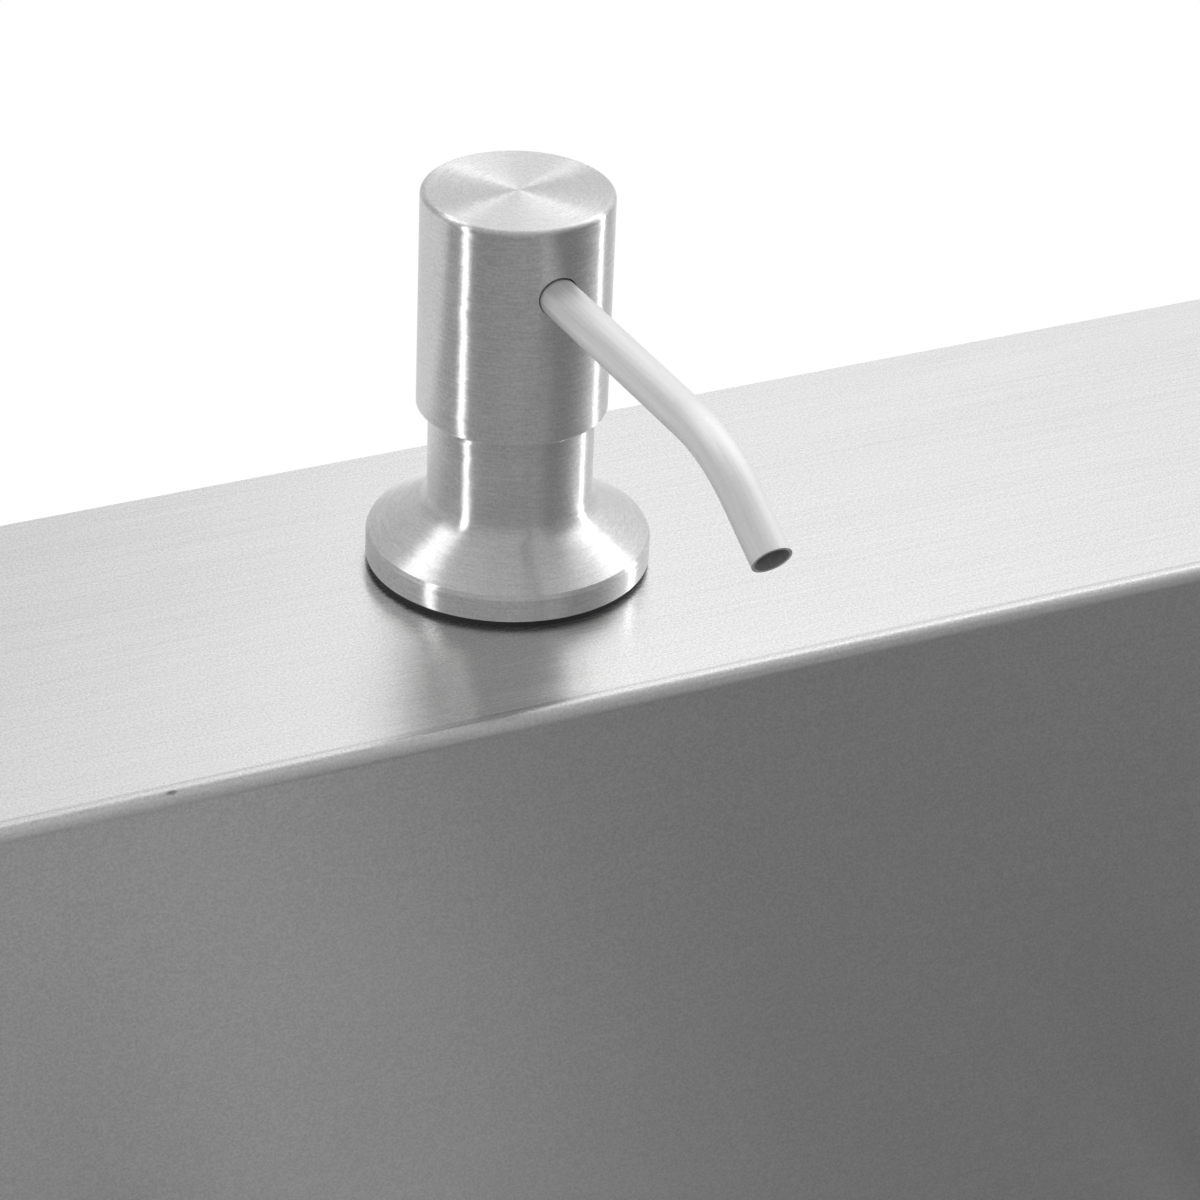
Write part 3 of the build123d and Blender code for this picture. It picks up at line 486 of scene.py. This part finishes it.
brushed_sheet = surface("brushed_sheet_look", sheet_steel)
pump_steel = surface("pump_steel_look", turned_steel(PUMP_X, PUMP_Y))
drain_steel = surface("drain_steel_look", turned_steel(0.0, 0.0))
tube_steel = surface("tube_steel_look", spout_steel)
stamped = surface("stamped_steel_look", pressed_steel)
bright = surface("polished_chrome_look", chrome)
zinc_plate = surface("zinc_steel_look", zinc)
nickel_plate = surface("plated_brass_look", nickel)
wire = surface("spring_steel_look", spring_wire)
black_rubber = dull_surface(
    "black_rubber_look", (0.012, 0.012, 0.012), (0.03, 0.03, 0.03), 0.62, 900.0, 0.00006
)
grey_rubber = dull_surface(
    "grey_rubber_look", (0.13, 0.13, 0.135), (0.20, 0.20, 0.205), 0.8, 500.0, 0.00015
)
black_plastic = dull_surface(
    "black_plastic_look", (0.018, 0.018, 0.02), (0.035, 0.035, 0.038), 0.42, 700.0, 0.00004
)
white_plastic = dull_surface(
    "white_plastic_look", (0.74, 0.74, 0.71), (0.84, 0.84, 0.82), 0.40, 600.0, 0.00004
)
foam_grey = surface("foam_seal_look", foam)
fibre_tan = surface("fibre_look", fibre)
bottle = surface("clear_plastic_look", bottle_plastic)

LOOKS = {
    brushed_sheet: ("sink_shell", "rim_plate"),
    pump_steel: ("collar_flange", "pump_cap"),
    drain_steel: ("strainer_body",),
    tube_steel: ("spout_tube",),
    stamped: ("mounting_rails", "strainer_basket"),
    bright: ("tailpiece", "check_ball", "basket_post"),
    zinc_plate: ("clip_bolts", "clip_jaws", "clip_nuts"),
    nickel_plate: ("strainer_locknut", "coupling_nut"),
    wire: ("return_spring",),
    black_rubber: ("strainer_flange_seal", "strainer_gasket", "base_gasket", "shank_washer", "basket_stopper"),
    grey_rubber: ("sound_pads",),
    black_plastic: ("threaded_shank", "mounting_nut", "pump_closure", "pump_head_insert"),
    white_plastic: ("tailpiece_washer", "pump_cylinder", "dip_tube", "plunger_stem", "piston"),
    foam_grey: ("rim_seal",),
    fibre_tan: ("friction_ring",),
    bottle: ("soap_bottle",),
}
for look, names in LOOKS.items():
    for name in names:
        for slot in NODES[name].material_slots:
            slot.material = look


# The spring, and threads where they show

def swept(name, rings, look, body, smooth=False):
    """A closed solid along rings of points, with a face over each end."""
    sides = len(rings[0])
    last = sides * (len(rings) - 1)
    faces = [tuple(range(sides)), tuple(last + side for side in reversed(range(sides)))]
    for here in range(0, last, sides):
        for side in range(sides):
            following = (side + 1) % sides
            faces.append((here + side, here + sides + side, here + sides + following, here + following))
    mesh = bpy.data.meshes.new(name)
    mesh.from_pydata([point for ring in rings for point in ring], [], faces)
    shape = bmesh.new()
    shape.from_mesh(mesh)
    bmesh.ops.recalc_face_normals(shape, faces=shape.faces)
    shape.to_mesh(mesh)
    shape.free()
    for face in mesh.polygons:
        face.use_smooth = smooth and len(face.vertices) == 4
    mesh.materials.append(look)
    piece = bpy.data.objects.new(name, mesh)
    bpy.context.scene.collection.objects.link(piece)
    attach(piece, body)
    return piece


SPRING_RADIUS = 5.2 * MM
SPRING_WIRE = 0.5 * MM
SPRING_TURNS = 8
SPRING_CLOSED_PITCH = 2.1 * SPRING_WIRE
SPRING_STEPS = 28
SPRING_SIDES = 10


def spring():
    """A coil of round wire with a closed turn at each end."""
    low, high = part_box("return_spring")
    foot, crown = low.z + SPRING_WIRE, high.z - SPRING_WIRE
    closed = SPRING_CLOSED_PITCH
    open_turns = SPRING_TURNS - 2
    open_pitch = (crown - foot - 2 * closed) / open_turns
    rings = []
    for index in range(SPRING_TURNS * SPRING_STEPS + 1):
        turn = index / SPRING_STEPS
        height = foot + closed * min(turn, 1.0) + open_pitch * min(max(turn - 1.0, 0.0), open_turns)
        height += closed * max(turn - (SPRING_TURNS - 1.0), 0.0)
        cosine, sine = math.cos(2.0 * math.pi * turn), math.sin(2.0 * math.pi * turn)
        ring = []
        for side in range(SPRING_SIDES):
            angle = 2.0 * math.pi * side / SPRING_SIDES
            reach = SPRING_RADIUS + SPRING_WIRE * math.cos(angle)
            rise = SPRING_WIRE * math.sin(angle)
            ring.append((PUMP_X + reach * cosine, PUMP_Y + reach * sine, height + rise))
        rings.append(ring)
    coil = swept("spring_coil", rings, wire, "pump", smooth=True)
    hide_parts("return_spring")
    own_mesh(coil)


spring()

# Radius of the plain solid, pitch and depth
SHANK_THREAD = (13.5 * MM, 2.8 * MM, 0.6 * MM)
CUP_THREAD = (41.0 * MM, 2.2 * MM, 0.6 * MM)
OUTLET_THREAD = (24.0 * MM, 2.2 * MM, 0.5 * MM)
BOLT_THREAD = (2.5 * MM, 0.8 * MM, 0.22 * MM)
THREAD_ROOT = 0.05 * MM
# A ridge's outline: half its width at the root and at the crest, as shares of the pitch
ROOT_SHARE, CREST_SHARE = 0.45, 0.12
# How far from the pieces around it each thread starts and ends
SHANK_THREAD_GAP = 1.6 * MM
CUP_THREAD_DROPS = (15.0 * MM, 1.2 * MM)
OUTLET_THREAD_RISES = (1.2 * MM, 5.0 * MM)
BOLT_THREAD_GAP = 0.5 * MM
BOLT_END = 0.6 * MM


def thread(name, centre, bottom, top, size, look, steps):
    """A ridge wound round an upright solid, rooted in it and tapered at both ends."""
    radius, pitch, depth = size
    count = round((top - bottom) / pitch * steps)
    root = radius - THREAD_ROOT
    rings = []
    for index in range(count + 1):
        turn = index / steps
        crest = radius + depth * min(1.0, 4.0 * turn, 4.0 * (count / steps - turn))
        cosine, sine = math.cos(2.0 * math.pi * turn), math.sin(2.0 * math.pi * turn)
        height = bottom + (top - bottom) * index / count
        outline = ((root, -ROOT_SHARE), (crest, -CREST_SHARE), (crest, CREST_SHARE), (root, ROOT_SHARE))
        rings.append([
            (centre[0] + reach * cosine, centre[1] + reach * sine, height + shift * pitch)
            for reach, shift in outline
        ])
    swept(name, rings, look, "sink")


BOLT_SLICE = 0.1 * MM
BOLT_REACH = 8 * MM


def bolt_axes():
    """The upright axes of the clip bolts, from the lowest slice of their solids."""
    node = NODES["clip_bolts"]
    points = [node.matrix_world @ vertex.co for vertex in node.data.vertices]
    lowest = min(point.z for point in points)
    groups = []
    for point in points:
        if point.z > lowest + BOLT_SLICE:
            continue
        for group in groups:
            if (group[0] - point).length < BOLT_REACH:
                group.append(point)
                break
        else:
            groups.append([point])
    axes = []
    for group in groups:
        across = [point.x for point in group]
        deep = [point.y for point in group]
        axes.append(((min(across) + max(across)) / 2, (min(deep) + max(deep)) / 2))
    return axes


BOTTLE_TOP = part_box("soap_bottle")[1].z
DISPENSER_NUT_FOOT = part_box("mounting_nut")[0].z
LOCKNUT_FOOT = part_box("strainer_locknut")[0].z
COUPLING_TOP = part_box("coupling_nut")[1].z
BOLT_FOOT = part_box("clip_bolts")[0].z
CLIP_NUT_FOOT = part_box("clip_nuts")[0].z
JAW_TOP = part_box("clip_jaws")[1].z
RAIL_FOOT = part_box("mounting_rails")[0].z

thread(
    "shank_thread", (PUMP_X, PUMP_Y), BOTTLE_TOP + SHANK_THREAD_GAP, DISPENSER_NUT_FOOT - SHANK_THREAD_GAP,
    SHANK_THREAD, black_plastic, steps=36,
)
thread(
    "cup_thread", (0.0, 0.0), LOCKNUT_FOOT - CUP_THREAD_DROPS[0], LOCKNUT_FOOT - CUP_THREAD_DROPS[1],
    CUP_THREAD, drain_steel, steps=72,
)
thread(
    "outlet_thread", (0.0, 0.0), COUPLING_TOP + OUTLET_THREAD_RISES[0], COUPLING_TOP + OUTLET_THREAD_RISES[1],
    OUTLET_THREAD, drain_steel, steps=48,
)
BOLT_RUNS = {
    "lower": (BOLT_FOOT + BOLT_END, CLIP_NUT_FOOT - BOLT_THREAD_GAP),
    "upper": (JAW_TOP + BOLT_THREAD_GAP, RAIL_FOOT - BOLT_THREAD_GAP),
}
for number, axis in enumerate(bolt_axes(), 1):
    for run_name, (run_foot, run_top) in BOLT_RUNS.items():
        thread(
            f"bolt_{number}_{run_name}_thread", axis, run_foot, run_top,
            BOLT_THREAD, zinc_plate, steps=12,
        )


# Camera, at the photograph's angle

CAMERA_AZIMUTH = math.radians(26.71)
CAMERA_DROP = math.radians(30.395)
CAMERA_ROLL = math.radians(2.532)
CAMERA_FROM_PUMP = Vector((-283.306, -600.873, 381.123)) * MM
CAMERA_SENSOR = 36.0
CAMERA_LENS = 128.1
CAMERA_CLIP = (0.01, 100.0)

camera_data = bpy.data.cameras.new("camera")
camera_data.sensor_width = CAMERA_SENSOR
camera_data.lens = CAMERA_LENS
camera_data.clip_start, camera_data.clip_end = CAMERA_CLIP
camera = bpy.data.objects.new("camera", camera_data)
bpy.context.scene.collection.objects.link(camera)
bpy.context.scene.camera = camera
sin_a, cos_a = math.sin(CAMERA_AZIMUTH), math.cos(CAMERA_AZIMUTH)
sin_e, cos_e = math.sin(CAMERA_DROP), math.cos(CAMERA_DROP)
ahead = Vector((sin_a * cos_e, cos_a * cos_e, -sin_e))
right = Vector((cos_a, -sin_a, 0.0))
up = Vector((sin_a * sin_e, cos_a * sin_e, cos_e))
rolled_right = math.cos(CAMERA_ROLL) * right + math.sin(CAMERA_ROLL) * up
rolled_up = -math.sin(CAMERA_ROLL) * right + math.cos(CAMERA_ROLL) * up
turned = Matrix((rolled_right, rolled_up, -ahead)).transposed().to_4x4()
camera.matrix_world = Matrix.Translation(Vector((PUMP_X, PUMP_Y, DECK_Z)) + CAMERA_FROM_PUMP) @ turned


# Floor: white to the camera with the object's shadow, and dim in front and pale behind to metal

FLOOR_SIZE = 12.0
FLOOR_GAP = 0.2 * MM
FLOOR_MATT = (0.90, 0.92)
FRONT_TONE = 0.02
FRONT_LIFT = 0.05
BACK_TONE = 0.84
# Between these distances from the middle, the shadow fades into plain white
SHADOW_NEAR, SHADOW_FAR = 0.45, 0.95
SHADOW_FADE = 0.62


def floor_tone(graph, x, y):
    """What metal sees of the floor towards (x, y)."""
    reach = graph.maths("MAXIMUM", graph.vector("LENGTH", graph.join(x, y, 0.0)), 0.001)
    rightwards = graph.maths("DIVIDE", x, reach)
    backwards = graph.maths("DIVIDE", y, reach)
    behind = graph.span(backwards, 0.12, 0.78, smooth=True)
    left_edge = graph.span(rightwards, -0.3, -0.05, smooth=True)
    right_edge = graph.span(rightwards, 0.3, 0.1, smooth=True)
    middle = graph.maths("MULTIPLY", left_edge, right_edge)
    front = graph.span(middle, 0.0, 1.0, FRONT_TONE, FRONT_TONE + FRONT_LIFT)
    return graph.span(behind, 0.0, 1.0, front, BACK_TONE)


floor_look = bpy.data.materials.new("floor_look")
floor_look.use_nodes = True
graph = Graph(floor_look.node_tree)
place = graph.place()
matt = graph.add("ShaderNodeBsdfDiffuse")
mottle = graph.noise(place, 3.0, 3.0, 0.6)
graph.plug(matt.inputs["Color"], graph.grey(graph.spread(mottle, *FLOOR_MATT)))
glow = graph.add("ShaderNodeEmission")
floor_x, floor_y, _ = graph.split(place)
in_camera, in_metal = graph.rays()
tone = graph.maths("MULTIPLY", in_metal, floor_tone(graph, floor_x, floor_y))
graph.plug(glow.inputs["Color"], graph.grey(graph.maths("ADD", tone, in_camera)))
glow.inputs["Strength"].default_value = 1.0
both = graph.add("ShaderNodeMixShader")
seen = graph.maths("MAXIMUM", in_metal, in_camera)
far = graph.span(graph.vector("LENGTH", place), SHADOW_NEAR, SHADOW_FAR, SHADOW_FADE, 1.0, smooth=True)
graph.plug(both.inputs[0], graph.maths("MULTIPLY", seen, graph.maths("MAXIMUM", far, in_metal)))
graph.plug(both.inputs[1], matt.outputs[0])
graph.plug(both.inputs[2], glow.outputs[0])
output = graph.add("ShaderNodeOutputMaterial")
graph.plug(output.inputs["Surface"], both.outputs[0])

floor_mesh = bpy.data.meshes.new("floor")
shape = bmesh.new()
bmesh.ops.create_grid(shape, x_segments=1, y_segments=1, size=FLOOR_SIZE / 2)
shape.to_mesh(floor_mesh)
shape.free()
floor_mesh.materials.append(floor_look)
floor = bpy.data.objects.new("floor", floor_mesh)
bpy.context.scene.collection.objects.link(floor)
floor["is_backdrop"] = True
floor.location = (0.0, 0.0, CAD_LOW.z - FLOOR_GAP)


# Studio: white to the camera, and to metal a sky that is dim in front and pale behind

LEFT_TONE = 0.70
LOW_SKY = 0.80
MID_SKY = 1.0
HIGH_SKY = 2.30
FRONT_SKY = 0.42
FRONT_RIGHT_SHARE = 0.7
ZENITH_TONE = 0.62
AMBIENT = 0.72
# The way in which the pale part of the sky lies, and the cosines between which it comes in
PALE_WAY = (0.76, 0.649, 0.0)
PALE_EDGE = (0.40, 0.62)
# Parts of the direction, between which a tone gives way to the next one
LEFT_EDGE = (0.24, 0.37)
FRONT_RIGHT_EDGE = (0.25, 0.45)
REAR_EDGE = (0.1, 0.4)
LOW_EDGE = (0.38, 0.50)
HIGH_EDGE = (0.55, 0.75)
ZENITH_EDGE = (0.75, 0.97)

world = bpy.data.worlds.new("studio")
bpy.context.scene.world = world
world.use_nodes = True
graph = Graph(world.node_tree)
direction = graph.vector("NORMALIZE", graph.add("ShaderNodeTexCoord").outputs["Generated"])
dx, dy, dz = graph.split(direction)
level_way = graph.vector("NORMALIZE", graph.join(dx, dy, 0.0))
behind = graph.span(graph.vector("DOT_PRODUCT", level_way, PALE_WAY), *PALE_EDGE, smooth=True)
sides = graph.span(dx, *LEFT_EDGE, LEFT_TONE, 1.0, smooth=True)
low = graph.span(dz, *LOW_EDGE, LOW_SKY, MID_SKY, smooth=True)
high = graph.span(dz, *HIGH_EDGE, 0.0, HIGH_SKY - MID_SKY, smooth=True)
high = graph.maths("MULTIPLY", high, graph.span(dy, *REAR_EDGE, smooth=True))
pale = graph.maths("MULTIPLY", sides, graph.maths("ADD", low, high))
dim = graph.span(dx, *FRONT_RIGHT_EDGE, FRONT_SKY, FRONT_SKY * FRONT_RIGHT_SHARE, smooth=True)
studio = graph.span(behind, 0.0, 1.0, dim, pale)
studio = graph.span(graph.span(dz, *ZENITH_EDGE, smooth=True), 0.0, 1.0, studio, ZENITH_TONE)
in_camera, in_metal = graph.rays()
ambient = graph.maths("MULTIPLY", graph.maths("SUBTRACT", 1.0, in_metal), AMBIENT)
level = graph.maths("ADD", graph.maths("MULTIPLY", in_metal, studio), ambient)
level = graph.maths("MAXIMUM", level, in_camera)
background = graph.add("ShaderNodeBackground")
graph.plug(background.inputs["Color"], graph.grey(level))
background.inputs["Strength"].default_value = 1.0
output = graph.add("ShaderNodeOutputWorld")
graph.plug(output.inputs["Surface"], background.outputs[0])


# Lamps

def softbox(name, place, aim, width, length, power):
    lamp = bpy.data.lights.new(name, "AREA")
    lamp.shape = "RECTANGLE"
    lamp.size = width
    lamp.size_y = length
    lamp.energy = power
    holder = bpy.data.objects.new(name, lamp)
    bpy.context.scene.collection.objects.link(holder)
    holder.location = place
    holder.rotation_mode = "QUATERNION"
    holder.rotation_quaternion = (Vector(aim) - Vector(place)).to_track_quat("-Z", "Y")
    return holder


def aimed(name, bearing, rise, distance, width, length, power):
    """A softbox that faces the pump, at a bearing from the front, counted towards +X, and a rise."""
    pump = Vector((PUMP_X, PUMP_Y, DECK_Z))
    psi, lift = math.radians(bearing), math.radians(rise)
    way = Vector((math.sin(psi) * math.cos(lift), -math.cos(psi) * math.cos(lift), math.sin(lift)))
    softbox(name, pump + way * distance, pump, width, length, power)


# Name, bearing and rise in degrees, distance, width and length in metres, and power in watts
LAMPS = (
    ("left_strip", -83.0, 3.0, 0.7, 0.09, 0.14, 0.46),
    ("right_strip", 84.0, 3.0, 0.7, 0.085, 0.14, 0.46),
    ("left_box", -139.0, 53.0, 1.8, 0.5, 0.5, 2.2),
    ("right_box", 101.0, 42.0, 1.8, 0.42, 0.5, 0.7),
)
# A large lamp above and behind, which metal doesn't show
OVERHEAD_PLACE = (-0.2, 0.6, 2.0)
OVERHEAD_AIM = (0.0, 0.0, 0.3)
OVERHEAD_SIZE = 1.6
OVERHEAD_POWER = 14.0

for lamp in LAMPS:
    aimed(*lamp)
overhead = softbox("overhead", OVERHEAD_PLACE, OVERHEAD_AIM, OVERHEAD_SIZE, OVERHEAD_SIZE, OVERHEAD_POWER)
overhead.visible_glossy = False

bpy.context.scene.view_settings.view_transform = "Standard"

low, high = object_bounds()
